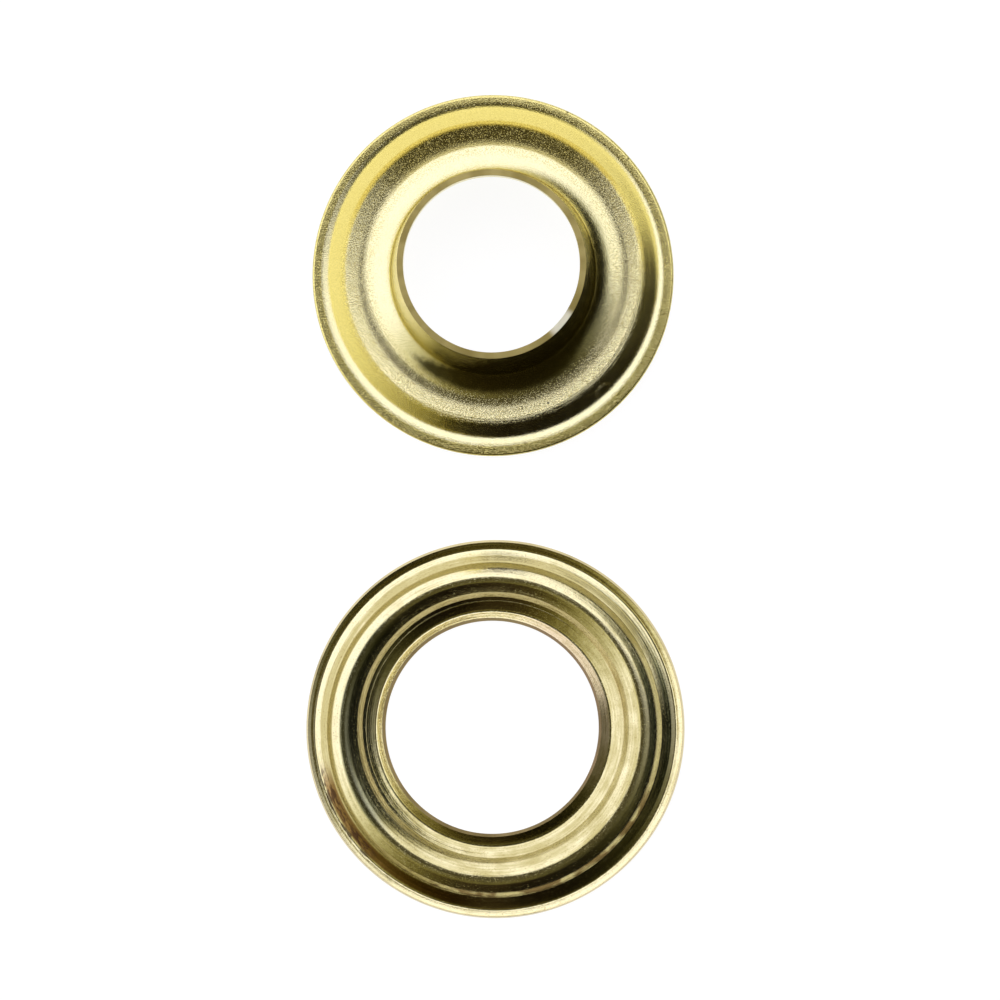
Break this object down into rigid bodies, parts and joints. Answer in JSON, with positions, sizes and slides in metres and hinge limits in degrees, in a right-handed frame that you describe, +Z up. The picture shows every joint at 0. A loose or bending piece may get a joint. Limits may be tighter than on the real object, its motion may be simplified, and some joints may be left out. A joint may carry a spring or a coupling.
{
  "type": "grommet eyelet",
  "caption": "Pressed brass eyelet before setting: a flanged grommet with a tapered barrel and its domed washer with an upturned collar, lying side by side.",
  "frame": {"origin": "centre of the pair's footprint, on the surface that both pieces rest on", "axes": "+Z up, along the axis of both pieces; +Y from the washer to the grommet; +X to the picture's right"},
  "size_m": [0.0214, 0.0466, 0.006],
  "materials": {
    "grommet_brass": "satin, fine grain from tumbling",
    "washer_brass": "bright, with fine ring lines from the press and light tarnish"
  },
  "bodies": {
    "root": {"grommet": "grommet_brass", "washer": "washer_brass"}
  },
  "joints": []
}
